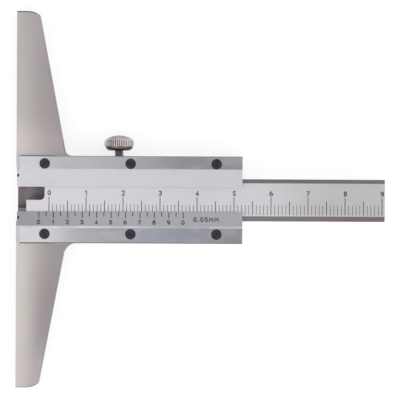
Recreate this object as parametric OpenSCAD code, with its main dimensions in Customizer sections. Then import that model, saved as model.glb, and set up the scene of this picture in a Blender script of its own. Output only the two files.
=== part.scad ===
// Vernier depth gauge, lying on its rear face.
// X runs along the beam: 0 is the measuring face and the beam's tip points to -X.
// Y runs along the base: 0 is the beam's centre line. Z is 0 on the rear face.
// Lengths are in millimetres and angles in degrees.

/* [Base] */
// Length of the base along the measuring face
base_len = 101.8; // [80:0.1:150]
// Width of the base where its slanted back meets the body
base_root_w = 13.4; // [11:0.1:18]
// Width of the base at its ends
base_end_w = 6; // [5:0.1:9]
// Radius that rounds each end of the base off towards its slanted back
base_corner_r = 5.3; // [4.6:0.1:8]
// Length along the end over which it is rounded off
base_corner_run = 3.1; // [2:0.1:3.6]
// Radius of the fillet between the base and the upper side of the body
upper_fillet_r = 2; // [0.5:0.1:5]
// Radius of the fillet between the base and the lower side of the body
lower_fillet_r = 3.6; // [0.5:0.1:6]
// Chamfer along the back edges and round the ends of the base
base_chamfer = 0.35; // [0.1:0.05:0.5]
// Radius of the crown that rolls the front of the base off towards its back edge
crown_r = 170; // [120:5:500]
// Width of the flat strip beside the measuring face, before the crown starts
crown_start = 2; // [1:0.1:4]

/* [Body] */
// Length of the body along the beam
body_len = 61.1; // [55:0.1:90]
// Width of the body across the beam
body_w = 23.6; // [22:0.1:32]
// Thickness of the wall behind the beam
back_wall = 3; // [2.8:0.1:4]
// Depth of the relief ground across the measuring face
face_relief = 0.3; // [0.2:0.05:1]
// Depth of the same relief in the ends of the cover plates
plate_relief = 0.2; // [0.1:0.02:0.5]
// Reach of the relief above the beam's centre line
relief_top = 9.9; // [8:0.1:11]
// Length of the ramp at the relief's upper end
relief_ramp = 2.6; // [0.5:0.1:4]
// Reach of the relief below the beam's centre line
relief_bottom = 5.9; // [5.8:0.1:9]
// Depth of the clearance groove in the channel's floor
floor_groove_depth = 0.8; // [0.3:0.1:1.5]
// Distance from the centre line to the groove's lower edge
floor_groove_low = 2.3; // [1:0.1:4]
// Distance from the centre line to the groove's upper edge
floor_groove_high = 4.1; // [2:0.1:5]
// Chamfer along the rear edges of the body
body_chamfer = 0.3; // [0.1:0.05:0.6]

/* [Beam] */
// Length of the beam from its tip to its far end
beam_len = 96.9; // [80:0.1:260]
// Width of the beam
beam_w = 11.4; // [9.5:0.1:11.6]
// Thickness of the beam
beam_thick = 3.4; // [3:0.05:5]
// Bevel along the upper front edge of the beam
beam_bevel_upper = 1.1; // [0.3:0.05:1.5]
// Bevel along the lower front edge of the beam
beam_bevel_lower = 1.4; // [0.3:0.05:1.6]
// Length of the tongue at the beam's tip
tongue_len = 4.95; // [3:0.05:6]
// Width of the tongue
tongue_w = 5.55; // [4:0.05:7]
// Radius of the fillet at the root of the tongue
tongue_fillet_r = 1.2; // [0.3:0.1:2]
// Distance of the tip behind the measuring face at rest
tip_retraction = 2.7; // [0:0.1:5]
// Gap between the beam and the floor, the plates and the lower guide of the channel
slide_gap = 0.05; // [0.02:0.01:0.1]
// Gap between the beam and the upper guide of the channel
guide_play = 0.1; // [0.05:0.01:0.2]

/* [Scales] */
// Length of one division of the main scale
division = 1; // [0.8:0.05:1.2]
// Distance of the main scale's zero line from the beam's tip
scale_zero = 6.15; // [5.5:0.05:9]
// Number of parts that the vernier divides one division into
vernier_parts = 20; // [10, 20]
// Width of the main scale's half-way and numbered lines
line_w = 0.2; // [0.08:0.01:0.25]
// Width of the main scale's shortest lines
unit_line_w = 0.14; // [0.08:0.01:0.25]
// Width of the vernier's lines
vernier_line_w = 0.23; // [0.08:0.01:0.25]
// Depth of the engraved lines
line_depth = 0.08; // [0.04:0.01:0.15]
// Gap between the beam's lower bevel and the foot of the lines
line_foot_gap = 0.35; // [0.1:0.05:0.6]
// Length of the main scale's shortest lines
unit_line_len = 2.65; // [1.5:0.05:3]
// Length of the main scale's half-way lines
half_line_len = 3.7; // [3:0.05:4.2]
// Length of the main scale's numbered lines
numbered_line_len = 4.7; // [4:0.05:5.5]
// Length of the vernier's numbered lines
vernier_line_len = 1.75; // [1:0.05:2.2]
// Length of the vernier's lines between the numbers
vernier_half_len = 1.25; // [0.6:0.05:1.8]

/* [Cover plates] */
// Thickness of both cover plates
plate_thick = 1.6; // [1.3:0.05:2.2]
// Distance of the upper plate's thin edge above the centre line
upper_edge_y = 3.4; // [2.5:0.1:4.4]
// Thickness of the upper plate at its thin edge
upper_edge_thick = 0.3; // [0.15:0.05:0.8]
// Width of the upper plate's flat band
upper_band_w = 3.55; // [3.2:0.05:4.5]
// Distance of the vernier plate's thin edge below the centre line
vernier_edge_y = 3.3; // [2:0.1:4]
// Thickness of the vernier plate at its thin edge
vernier_edge_thick = 0.25; // [0.2:0.05:0.6]
// Width of the vernier plate's flat band
vernier_band_w = 4.1; // [3.8:0.05:4.5]
// Width of the narrow facet between the band and the scale's bevel
facet_w = 0.55; // [0.2:0.05:0.8]
// Drop of that facet
facet_drop = 0.4; // [0.1:0.05:0.6]
// Chamfer along the outer edges of the plates
plate_chamfer = 0.22; // [0.05:0.01:0.4]
// Length of the bevel ground on the measuring end of both plates
plate_end_bevel = 1.1; // [0.4:0.05:1.5]
// Drop of that bevel
plate_end_drop = 0.35; // [0.1:0.05:0.5]
// Length of the small nick in the end of each plate
nick_len = 0.8; // [0.3:0.1:1]
// Depth of the nick past the relief
nick_depth = 0.5; // [0.1:0.05:0.7]
// Distance of the upper nick above the centre line
upper_nick_y = 6.1; // [5.5:0.1:7]
// Distance of the lower nick below the centre line
lower_nick_y = 4.5; // [4:0.1:5]

/* [Plate screws] */
// Diameter of the screw heads
head_d = 2.8; // [2.4:0.05:2.9]
// Height of the screw heads
head_h = 0.9; // [0.6:0.05:1]
// Diameter of the screws' threads
screw_d = 1.6; // [1.2:0.1:2]
// Length of the screws under their heads
screw_len = 3.6; // [2.5:0.1:3.8]
// Width of the screwdriver slots
slot_w = 0.35; // [0.2:0.05:0.5]
// Depth of the screwdriver slots
slot_depth = 0.4; // [0.2:0.05:0.5]
// Distance of the first screws from the measuring face
first_screw_x = 7.7; // [6:0.1:12]
// Distance of the last screws from the body's far end
last_screw_inset = 7; // [3:0.1:12]
// Distance of the upper plate's screws from its outer edge
upper_screw_gap = 2.1; // [1.8:0.05:2.1]
// Distance of the vernier plate's screws from its outer edge
lower_screw_gap = 2.5; // [1.8:0.05:2.6]
// Gap round a screw head in its counterbore
head_gap = 0.04; // [0.02:0.01:0.1]
// Gap round a screw's thread in its hole
thread_gap = 0.03; // [0.02:0.01:0.06]
// Depth of a tapped hole past the screw's end
hole_tip_gap = 0.3; // [0.1:0.05:0.4]

/* [Clamp screw] */
// Distance of the clamp screw from the middle plate screws, towards the measuring face
clamp_offset = 3.2; // [2.4:0.1:6]
// Diameter of the knurled knob
knob_d = 8; // [6:0.1:8.2]
// Height of the knob to the top of its dome
knob_h = 4.13; // [3.8:0.01:6]
// Radius between the knob's side and its dome
knob_corner_r = 1.35; // [0.8:0.05:1.4]
// Radius between the knob's side and its underside
knob_under_r = 1.2; // [0.5:0.05:1.2]
// Height of the centre of the upper corner radius above the underside
knob_side_h = 2.05; // [1.6:0.05:2.5]
// Height of the smooth rim between the underside and the knurl
knob_rim_h = 1.35; // [1.3:0.05:1.6]
// Step from the valleys of the knurl in to that rim
knob_rim_step = 0.02; // [0.01:0.01:0.1]
// Number of teeth of the straight knurl
knurl_teeth = 46; // [24:1:48]
// Depth of the knurl
knurl_depth = 0.22; // [0.1:0.02:0.4]
// Diameter of the threaded stud
stud_d = 2.5; // [2:0.1:2.6]
// Length of the stud that shows between the body and the knob
stud_exposed = 1.5; // [1:0.1:4]
// Depth of the stud in the knob
stud_grip = 2.8; // [1.5:0.1:3.2]
// Chamfer at the stud's tip
stud_chamfer = 0.3; // [0.1:0.05:0.5]

/* [Clamp pad and leaf spring] */
// Thickness of the brass pad
pad_thick = 0.8; // [0.5:0.05:1.5]
// Gap between the pad and its neighbours
pad_gap = 0.03; // [0.02:0.01:0.05]
// Length of the leaf spring
leaf_len = 30; // [24:0.5:34]
// Width of the leaf spring
leaf_w = 2.1; // [1.5:0.1:2.2]
// Thickness of the leaf spring
leaf_thick = 0.3; // [0.15:0.05:0.5]
// Height of the leaf spring's bow
leaf_bow = 0.5; // [0.3:0.05:0.8]
// Gap between the leaf spring and the beam, the pocket's roof and its ends
leaf_gap = 0.06; // [0.03:0.01:0.1]

/* [Hidden] */
$fn = 96;
fine_fn = 720;
overrun = 0.5;

// Body and channel
body_y = body_w / 2;
channel_depth = beam_thick + 2 * slide_gap;
base_thick = back_wall + channel_depth;
plate_top = base_thick + plate_thick;
beam_y = beam_w / 2;
guide_low = beam_y + slide_gap;
guide_high = beam_y + guide_play;

// Beam, at rest
tip_x = tip_retraction;
beam_low = back_wall + slide_gap;
beam_face = beam_low + beam_thick;
tongue_top = tongue_w - beam_y;
flat_edge_h = beam_thick - beam_bevel_upper;

// Scales. The vernier's zero meets the main scale's zero when the tip is flush with the measuring face.
main_zero_x = tip_x + scale_zero;
vernier_zero_x = scale_zero;
line_foot_y = beam_bevel_lower + line_foot_gap - beam_y;
main_lines = floor((beam_len - scale_zero - line_w) / division);
vernier_step = division * (2 - 1 / vernier_parts);
lines_per_number = 10;
lines_per_half = 5;
vernier_lines_per_number = vernier_parts / 10;

// Slope of the vernier scale's bevel
vernier_band_y = body_y - vernier_band_w;
vernier_bevel_y = vernier_band_y - facet_w;
vernier_rise = plate_thick - facet_drop - vernier_edge_thick;
vernier_slope = atan(vernier_rise / (vernier_bevel_y - vernier_edge_y));

// Slanted back of the base
base_y = base_len / 2;
slant = atan((base_root_w - base_end_w) / (base_y - body_y));
corner = [base_end_w - base_corner_run, base_y - base_corner_r];
// Direction out of the slanted back, and how far the back passes from the rounding's centre
slant_out = [cos(slant), sin(slant)];
slant_gap = base_corner_run * cos(slant) + base_corner_r * sin(slant);

// Plate screws
screw_pitch = (body_len - first_screw_x - last_screw_inset) / 2;
upper_screw_y = body_y - upper_screw_gap;
lower_screw_y = lower_screw_gap - body_y;
upper_slots = [28, 155, 80];
lower_slots = [118, 160, 38];

// Clamp: leaf spring on the beam's edge, pad on the spring, stud on the pad
clamp_x = first_screw_x + screw_pitch - clamp_offset;
leaf_foot_y = beam_y + leaf_gap;
leaf_crown_y = leaf_foot_y + leaf_bow + leaf_thick;
leaf_r = leaf_len * leaf_len / (8 * leaf_bow) + leaf_bow / 2;
pocket_y = leaf_crown_y + leaf_gap;
pad_low_y = leaf_crown_y + pad_gap;
pad_high_y = pad_low_y + pad_thick;
stud_tip_y = pad_high_y + pad_gap;
knob_y = body_y + stud_exposed;
stud_r = stud_d / 2;
clamp_z = beam_low + flat_edge_h / 2;
knob_r = knob_d / 2;
rim_r = knob_r - knurl_depth - knob_rim_step;
// Radius of the knob's dome, as a share of the radius that would be tangent to the corner radius
dome_share = 0.995;

// Height of the crowned front of the base at a distance from the measuring face
function crown_z(x) =
    let (run = max(0, x - crown_start))
    base_thick - crown_r + sqrt(crown_r * crown_r - run * run);

// Centre of the fillet between the slanted back and the side of the body
function fillet_centre(r) = [base_root_w + r * (1 - sin(slant)) / cos(slant), body_y + r];

// Point where that fillet runs out into the slanted back
function fillet_end(r) = fillet_centre(r) - r * [cos(slant), sin(slant)];

// Extrudes a section drawn in Y and Z along X
module along_x(x, len) {
    translate([x, 0, 0])
        rotate([90, 0, 90])
            linear_extrude(len) children();
}

// Turns a solid made round Z into one round a line along Y through the clamp screw's axis
module on_clamp_axis(y) {
    translate([clamp_x, y, clamp_z])
        rotate([-90, 0, 0]) children();
}

// Cutter for a 45 degree chamfer along the edge from p to q, with the solid on the left and below
module chamfer_cut(p, q, size, lead = 0, run_out = 0) {
    span = q - p;
    length = norm(span);
    translate(p)
        rotate([0, -asin(span.z / length), atan2(span.y, span.x)])
            along_x(-lead, length + lead + run_out)
                polygon([[-overrun, -size - overrun], [size + overrun, overrun], [-overrun, overrun]]);
}

// Plan of the wedge in which a wing's end is rounded off
module corner_wedge() {
    polygon([
        corner, [corner.x, base_y + overrun], [base_end_w + overrun, base_y + overrun],
        corner + (slant_gap + overrun) * slant_out,
    ]);
}

// Outline of one wing of the base, on the +Y side, with the half of the body that it grows from
module wing_outline(fillet_r) {
    centre = fillet_centre(fillet_r);
    end = fillet_end(fillet_r);
    difference() {
        polygon([[0, 0], [base_root_w, 0], [base_root_w, body_y], [base_end_w, base_y], [0, base_y]]);
        difference() {
            corner_wedge();
            translate(corner) circle(base_corner_r);
        }
    }
    difference() {
        polygon([[0, 0], [centre.x, 0], [centre.x, body_y], end, [0, end.y]]);
        translate(centre) circle(fillet_r);
    }
}

// Chamfers of one wing: the slanted back, the end with its rounding, and the root fillet
module wing_chamfers(fillet_r, root_z, corner_z, end_z) {
    c = base_chamfer;
    root = fillet_end(fillet_r);
    centre = fillet_centre(fillet_r);
    chamfer_cut([root.x, root.y, root_z], [base_end_w, base_y, corner_z], c);
    chamfer_cut([corner.x, base_y, end_z], [0, base_y, end_z], c, 0, overrun);
    // Rounded end: all in the wedge that lies outside a cone
    difference() {
        translate([0, 0, corner_z - c])
            linear_extrude(c + overrun) corner_wedge();
        translate([corner.x, corner.y, corner_z - c - overrun])
            cylinder(h = c + 2 * overrun, r1 = base_corner_r + overrun, r2 = base_corner_r - c - overrun);
    }
    // Root fillet: a cone that opens towards the front, kept off the seat of the plate
    intersection() {
        translate([centre.x, centre.y, root_z - c])
            cylinder(h = c + overrun, r1 = fillet_r, r2 = fillet_r + c + overrun);
        translate([0, body_y, root_z - c])
            cube([centre.x, 2 * fillet_r, c + overrun]);
    }
}

// What rolls the front of one wing off towards its back edge
module wing_crown(fillet_r) {
    depth = channel_depth;
    reach = fillet_centre(fillet_r).x - crown_start + overrun;
    difference() {
        translate([crown_start, body_y, base_thick - depth])
            cube([reach, base_y - body_y + overrun, depth + overrun]);
        translate([crown_start, body_y - overrun, base_thick - crown_r])
            rotate([-90, 0, 0])
                cylinder(h = base_y - body_y + 3 * overrun, r = crown_r, $fn = 2 * fine_fn);
    }
}

// Everything that is cut from one wing
module wing_cuts(fillet_r) {
    root = fillet_end(fillet_r);
    wing_crown(fillet_r);
    wing_chamfers(fillet_r, crown_z(root.x), crown_z(corner.x), crown_z(corner.x));
    mirror([0, 0, 1]) wing_chamfers(fillet_r, 0, 0, 0);
}

// Relief across the measuring face, for the body or for a plate
module face_relief_cut(depth) {
    translate([0, 0, -overrun])
        linear_extrude(plate_top + 2 * overrun)
            polygon([
                [-overrun, -relief_bottom], [depth, -relief_bottom],
                [depth, relief_top - relief_ramp], [0, relief_top], [-overrun, relief_top],
            ]);
}

// Small nick in the end of a plate and of the body below it, down to the channel's floor
module nick_cut(y) {
    translate([0, y, back_wall])
        cube([face_relief + nick_depth, nick_len, plate_thick + channel_depth + overrun]);
}

// What bevels the measuring end of a plate
module plate_end_cut() {
    rise = plate_end_drop * overrun / plate_end_bevel;
    translate([0, body_y + overrun, plate_top])
        rotate([90, 0, 0])
            linear_extrude(body_w + 2 * overrun)
                polygon([
                    [-overrun, -plate_end_drop - rise], [plate_end_bevel + overrun, rise],
                    [-overrun, rise],
                ]);
}

module stud_bore() {
    on_clamp_axis(pocket_y - leaf_gap)
        cylinder(h = body_y - pocket_y + leaf_gap + overrun, r = stud_r + thread_gap);
}

module tapped_holes() {
    depth = screw_len - (plate_thick - head_h) + hole_tip_gap;
    for (i = [0:2], y = [lower_screw_y, upper_screw_y])
        translate([first_screw_x + i * screw_pitch, y, base_thick - depth])
            cylinder(h = depth + overrun, r = screw_d / 2 + thread_gap);
}

module frame_body() {
    pocket_len = leaf_len + 2 * leaf_gap;
    color([0.72, 0.7, 0.69])
    difference() {
        union() {
            translate([0, -body_y, 0]) cube([body_len, body_w, base_thick]);
            linear_extrude(base_thick) wing_outline(upper_fillet_r);
            linear_extrude(base_thick) mirror([0, 1]) wing_outline(lower_fillet_r);
        }
        wing_cuts(upper_fillet_r);
        mirror([0, 1, 0]) wing_cuts(lower_fillet_r);
        // Channel for the beam, with a clearance groove in its floor
        translate([-overrun, -guide_low, back_wall])
            cube([body_len + 2 * overrun, guide_low + guide_high, channel_depth + overrun]);
        translate([-overrun, -floor_groove_low, back_wall - floor_groove_depth])
            cube([
                body_len + 2 * overrun, floor_groove_low + floor_groove_high,
                floor_groove_depth + overrun,
            ]);
        // Pocket for the leaf spring
        translate([clamp_x - pocket_len / 2, 0, back_wall])
            cube([pocket_len, pocket_y, channel_depth + overrun]);
        stud_bore();
        tapped_holes();
        face_relief_cut(face_relief);
        nick_cut(upper_nick_y);
        // Rear edges of the body
        mirror([0, 0, 1]) {
            chamfer_cut([body_len, body_y, 0], [fillet_centre(upper_fillet_r).x, body_y, 0],
                body_chamfer, overrun);
            chamfer_cut([fillet_centre(lower_fillet_r).x, -body_y, 0], [body_len, -body_y, 0],
                body_chamfer, 0, overrun);
            chamfer_cut([body_len, -body_y, 0], [body_len, body_y, 0], body_chamfer, overrun, overrun);
        }
    }
}

// Counterbored holes of one plate, in a row at y
module plate_holes(y) {
    for (i = [0:2])
        translate([first_screw_x + i * screw_pitch, y, 0]) {
            translate([0, 0, plate_top - head_h])
                cylinder(h = head_h + overrun, r = head_d / 2 + head_gap);
            translate([0, 0, base_thick - overrun])
                cylinder(h = plate_thick + overrun, r = screw_d / 2 + thread_gap);
        }
}

module upper_plate() {
    color([0.8, 0.8, 0.81])
    difference() {
        along_x(0, body_len)
            polygon([
                [upper_edge_y, base_thick], [body_y, base_thick],
                [body_y, plate_top - plate_chamfer], [body_y - plate_chamfer, plate_top],
                [body_y - upper_band_w, plate_top], [upper_edge_y, base_thick + upper_edge_thick],
            ]);
        plate_holes(upper_screw_y);
        face_relief_cut(plate_relief);
        plate_end_cut();
        nick_cut(upper_nick_y);
    }
}

module vernier_lines() {
    for (i = [0:vernier_parts]) {
        numbered = i % vernier_lines_per_number == 0;
        len = numbered ? vernier_line_len : vernier_half_len;
        translate([vernier_zero_x + i * vernier_step, -vernier_edge_y, base_thick + vernier_edge_thick])
            rotate([-vernier_slope, 0, 0])
                translate([-vernier_line_w / 2, -len, -line_depth])
                    cube([vernier_line_w, len + overrun, line_depth + overrun]);
    }
}

module vernier_plate() {
    color([0.66, 0.66, 0.68])
    difference() {
        along_x(0, body_len)
            polygon([
                [-vernier_edge_y, base_thick], [-body_y, base_thick],
                [-body_y, plate_top - plate_chamfer], [-body_y + plate_chamfer, plate_top],
                [-vernier_band_y, plate_top], [-vernier_bevel_y, plate_top - facet_drop],
                [-vernier_edge_y, base_thick + vernier_edge_thick],
            ]);
        plate_holes(lower_screw_y);
        vernier_lines();
        face_relief_cut(plate_relief);
        plate_end_cut();
        nick_cut(-lower_nick_y - nick_len);
    }
}

module main_lines() {
    for (i = [0:main_lines]) {
        len = i % lines_per_number == 0 ? numbered_line_len
            : i % lines_per_half == 0 ? half_line_len
            : unit_line_len;
        wide = i % lines_per_half == 0 ? line_w : unit_line_w;
        translate([main_zero_x + i * division - wide / 2, line_foot_y, beam_face - line_depth])
            cube([wide, len, line_depth + overrun]);
    }
}

// What is cut away beside the tongue, with a fillet at its root
module tongue_notch() {
    r = tongue_fillet_r;
    side = beam_y - tongue_top + overrun;
    translate([tip_x, tongue_top, beam_low - overrun])
        linear_extrude(beam_thick + 2 * overrun)
            union() {
                translate([-overrun, 0]) square([tongue_len + overrun - r, side]);
                translate([-overrun, r]) square([tongue_len + overrun, side - r]);
                translate([tongue_len - r, r]) circle(r);
            }
}

module beam() {
    color([0.82, 0.82, 0.83])
    difference() {
        along_x(tip_x, beam_len)
            polygon([
                [-beam_y, beam_low], [beam_y, beam_low],
                [beam_y, beam_face - beam_bevel_upper], [beam_y - beam_bevel_upper, beam_face],
                [beam_bevel_lower - beam_y, beam_face], [-beam_y, beam_face - beam_bevel_lower],
            ]);
        tongue_notch();
        main_lines();
    }
}

module leaf_spring() {
    inner_r = leaf_r - leaf_thick;
    foot = leaf_foot_y;
    color([0.55, 0.52, 0.45])
    translate([clamp_x, foot + leaf_bow + leaf_thick - leaf_r, clamp_z - leaf_w / 2])
        linear_extrude(leaf_w)
            difference() {
                intersection() {
                    circle(leaf_r, $fn = 2 * fine_fn);
                    translate([-leaf_len / 2, 0]) square([leaf_len, leaf_r + overrun]);
                }
                circle(inner_r, $fn = 2 * fine_fn);
            }
}

module clamp_pad() {
    color([0.78, 0.62, 0.32])
    on_clamp_axis(pad_low_y) cylinder(h = pad_thick, r = stud_r);
}

module clamp_stud() {
    length = knob_y + stud_grip - stud_tip_y;
    color([0.3, 0.3, 0.27])
    on_clamp_axis(stud_tip_y) {
        cylinder(h = stud_chamfer, r1 = stud_r - stud_chamfer, r2 = stud_r);
        translate([0, 0, stud_chamfer]) cylinder(h = length - stud_chamfer, r = stud_r);
    }
}

// Half section of the knob without its knurl: underside and rim, knurled side with its corner, and dome.
// The dome and the corner radius cross in one clear point.
module knob_section() {
    corner = [knob_r - knob_corner_r, knob_side_h];
    gap = knob_h - corner.y;
    tangent_r = (corner.x * corner.x + gap * gap - knob_corner_r * knob_corner_r)
        / (2 * (gap - knob_corner_r));
    dome_r = dome_share * tangent_r;
    dome = [0, knob_h - dome_r];
    reach = dome_r * (corner - dome) / norm(corner - dome);
    square([rim_r - knob_under_r, knob_side_h]);
    translate([0, knob_under_r]) square([rim_r, knob_side_h - knob_under_r]);
    translate([rim_r - knob_under_r, knob_under_r]) circle(knob_under_r);
    intersection() {
        union() {
            square([knob_r, knob_side_h]);
            translate(corner) circle(knob_corner_r);
        }
        translate([0, knob_rim_h]) square([knob_r, knob_h]);
    }
    intersection() {
        translate(dome) circle(dome_r, $fn = fine_fn);
        polygon([[0, 0], [corner.x, 0], corner, dome + 2 * reach, [0, dome.y + 2 * reach.y]]);
    }
}

// Plan of the straight knurl: a star with one point for each tooth
module knurl_plan() {
    polygon([
        for (i = [0:2 * knurl_teeth - 1])
            let (r = i % 2 == 0 ? knob_r + knurl_depth : knob_r - knurl_depth)
            r * [cos(180 * i / knurl_teeth), sin(180 * i / knurl_teeth)]
    ]);
}

module clamp_knob() {
    color([0.75, 0.73, 0.7])
    on_clamp_axis(knob_y)
        difference() {
            intersection() {
                rotate_extrude() knob_section();
                translate([0, 0, -overrun]) linear_extrude(knob_h + 2 * overrun) knurl_plan();
            }
            translate([0, 0, -overrun])
                cylinder(h = stud_grip + thread_gap + overrun, r = stud_r + thread_gap);
        }
}

// Slotted cheese-head screw of a plate: its number along the plate, its row and its slot's angle
module plate_screw(i, y, slot_angle) {
    color([0.16, 0.15, 0.17])
    translate([first_screw_x + i * screw_pitch, y, plate_top - head_h])
        difference() {
            union() {
                cylinder(h = head_h, r = head_d / 2);
                translate([0, 0, -screw_len]) cylinder(h = screw_len, r = screw_d / 2);
            }
            rotate([0, 0, slot_angle])
                translate([-head_d, -slot_w / 2, head_h - slot_depth])
                    cube([2 * head_d, slot_w, slot_depth + overrun]);
        }
}

frame_body();
upper_plate();
vernier_plate();
beam();
leaf_spring();
clamp_pad();
clamp_stud();
clamp_knob();
plate_screw(0, upper_screw_y, upper_slots[0]);  // upper_plate_screw_1
plate_screw(1, upper_screw_y, upper_slots[1]);  // upper_plate_screw_2
plate_screw(2, upper_screw_y, upper_slots[2]);  // upper_plate_screw_3
plate_screw(0, lower_screw_y, lower_slots[0]);  // vernier_plate_screw_1
plate_screw(1, lower_screw_y, lower_slots[1]);  // vernier_plate_screw_2
plate_screw(2, lower_screw_y, lower_slots[2]);  // vernier_plate_screw_3
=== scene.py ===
import math

import bmesh
import bpy
from mathutils import Matrix, Vector


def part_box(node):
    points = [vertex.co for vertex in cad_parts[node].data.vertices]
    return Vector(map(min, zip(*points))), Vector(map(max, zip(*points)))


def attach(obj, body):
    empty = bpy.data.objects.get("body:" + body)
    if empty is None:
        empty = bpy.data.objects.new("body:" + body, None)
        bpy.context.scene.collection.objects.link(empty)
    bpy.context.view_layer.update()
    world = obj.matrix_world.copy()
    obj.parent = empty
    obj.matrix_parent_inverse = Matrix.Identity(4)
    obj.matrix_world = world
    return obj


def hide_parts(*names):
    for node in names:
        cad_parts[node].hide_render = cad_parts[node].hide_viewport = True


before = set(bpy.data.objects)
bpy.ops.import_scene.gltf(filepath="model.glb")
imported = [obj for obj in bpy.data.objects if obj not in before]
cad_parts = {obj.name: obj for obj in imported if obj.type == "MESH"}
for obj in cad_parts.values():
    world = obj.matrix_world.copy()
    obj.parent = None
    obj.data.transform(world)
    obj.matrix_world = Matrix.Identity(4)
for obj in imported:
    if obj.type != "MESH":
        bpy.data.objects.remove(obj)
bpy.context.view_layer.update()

MM = 0.001
QUARTER = math.pi / 2

# View: straight down, as in the photograph, with its 400 pixels across the beam's face
VIEW_WIDTH = 108.1 * MM
VIEW_CENTRE = (49.65 * MM, 0.02 * MM)
VIEW_ROLL = math.radians(0.28)
LENS = 400.0
SENSOR = 36.0
CAMERA_CLIP = (0.01, 20.0)

# Wings of the base: width where Y is 0 if their slanted backs ran on, and how much it loses along Y
WING_ROOT = 15.6 * MM
WING_TAPER = 0.187

# Scales, as they are engraved in the beam and the vernier plate
DIVISION = 1.0 * MM
SCALE_ZERO = 6.15 * MM
MAIN_LINES = 91
LINE_DEPTH = 0.08 * MM
MAIN_FOOT_Y = -3.95 * MM
# Length and width of a scale's lines, for the numbered ones, those half-way and the others
MAIN_KINDS = {10: (4.7 * MM, 0.2 * MM), 5: (3.7 * MM, 0.2 * MM), 1: (2.65 * MM, 0.14 * MM)}
VERNIER_LINES = 21
VERNIER_STEP = 1.95 * MM
VERNIER_KINDS = {2: (1.75 * MM, 0.23 * MM), 1: (1.25 * MM, 0.23 * MM)}
# How far the ink stays below the steel and off the walls of a line. Across the line, from wall to
# wall, its top sags to so many times that depth.
INK_SINK = 0.01 * MM
INK_SAGS = [(-1.0, 1.0), (-0.5, 1.8), (0.0, 2.2), (0.5, 1.8), (1.0, 1.0)]

# Bevel that carries the vernier scale: its thin edge and its upper edge, as (Y, Z)
BEVEL_LOW = Vector((-3.3, 6.75)) * MM
BEVEL_HIGH = Vector((-7.15, 7.7)) * MM

# Numerals: height, width and stroke, and where their feet stand
MAIN_DIGIT = {"height": 1.42 * MM, "width": 0.98 * MM, "stroke": 0.255 * MM}
MAIN_DIGIT_Y = 1.1 * MM
MAIN_DIGIT_SHIFT = 0.06 * MM
VERNIER_DIGIT = {"height": 1.26 * MM, "width": 0.98 * MM, "stroke": 0.25 * MM}
VERNIER_DIGIT_Y = -6.72 * MM
VERNIER_DIGIT_SHIFT = -0.08 * MM
MARK = {"height": 1.36 * MM, "width": 0.93 * MM, "stroke": 0.25 * MM}
MARK_X = 47.87 * MM
MARK_Y = -5.95 * MM
# How far they stand out of the surface, how sharp a stroke's corners may get, and for its round
# ends what is left of the half width at the tip, and the steps to there
NUMERAL_HEIGHT = 0.006 * MM
MITRE_LIMIT = 0.6
ROUND_TIP = 0.05
ROUND_STEPS = 5

# Thread of the clamp stud, with its points a turn. Its profile: share of the pitch, and depth below
# the crest as a share of the thread's depth. Then the stud's chamfer, and how near points are merged.
THREAD_PITCH = 0.45 * MM
THREAD_DEPTH = 0.26 * MM
THREAD_POINTS = 48
THREAD_SHARES = [(0.0, 0.0), (0.16, 0.0), (0.33, 0.5), (0.5, 1.0), (0.66, 1.0), (0.83, 0.5)]
STUD_CHAMFER = 0.3 * MM
MERGE = 1e-4 * MM

# Nicks in the plates' measuring ends: X of their middle, and for the dark fill in each, which is a
# painted shadow, the Y of its foot and the Z of its top
NICK_X = 0.51 * MM
NICKS = [Vector((6.1, 7.3)) * MM, Vector((-5.3, 6.9)) * MM]
NICK_FILL = {"length": 0.8 * MM, "width": 0.56 * MM, "depth": 0.9 * MM}

# Knob: rounding of its underside as (width, height), radius of its rim and corner, height of the
# corner's centre, and the bore
KNOB_UNDER = Vector((1.5, 1.2)) * MM
KNOB_RIM_R = 3.76 * MM
KNOB_CORNER_R = 1.35 * MM
KNOB_SIDE = 2.05 * MM
KNOB_BORE_R = 1.28 * MM
KNOB_BORE = 2.83 * MM
# Steps of its profile, and the rings on its flat seat as shares of the way from the bore outwards
UNDER_STEPS = 10
LEAD_STEPS = 6
CORNER_STEPS = 8
DOME_STEPS = 14
SEAT_RINGS = (0.3, 0.7)
# Knurl: teeth, points a tooth, depth, height of its lead, turn round the axis, and the power that
# narrows its valleys
KNURL_TEETH = 46
KNURL_POINTS = 8
KNURL_DEPTH = 0.22 * MM
KNURL_LEAD = 0.4 * MM
KNURL_TURN = math.radians(2.5)
KNURL_POWER = 1.2

beam_low, beam_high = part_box("beam")
plate_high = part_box("upper_plate")[1]
stud_low, stud_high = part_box("clamp_stud")
knob_low, knob_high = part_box("clamp_knob")
STUD_AXIS = ((stud_low.x + stud_high.x) / 2, (stud_low.z + stud_high.z) / 2)


# Meshes

def new_piece(name, bm, material, body):
    """Makes a piece of a finished bmesh, which rides on a body and takes its finish from a slot."""
    bmesh.ops.recalc_face_normals(bm, faces=bm.faces)
    mesh = bpy.data.meshes.new(name)
    bm.to_mesh(mesh)
    bm.free()
    mesh.materials.append(material)
    piece = bpy.data.objects.new(name, mesh)
    bpy.context.scene.collection.objects.link(piece)
    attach(piece, body)
    return piece


def spread(start, end, steps):
    """Values from start to end in even steps, with both ends."""
    return [start + (end - start) * k / steps for k in range(steps + 1)]


def ring_faces(bm, now, then):
    """Quads between two closed rings of as many vertices."""
    for a, b, c, d in zip(now, now[1:] + now[:1], then[1:] + then[:1], then):
        bm.faces.new((a, b, c, d))


def prism(bm, rings, closed=False):
    """Joins rings in a row, and caps the ends or closes the row on itself."""
    for now, then in zip(rings, rings[1:]):
        ring_faces(bm, now, then)
    if closed:
        ring_faces(bm, rings[-1], rings[0])
    else:
        bm.faces.new(rings[0][::-1])
        bm.faces.new(rings[-1])


# Strokes of the numerals, which lie on a surface given by a place: local X and Y along it, Z out

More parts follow.
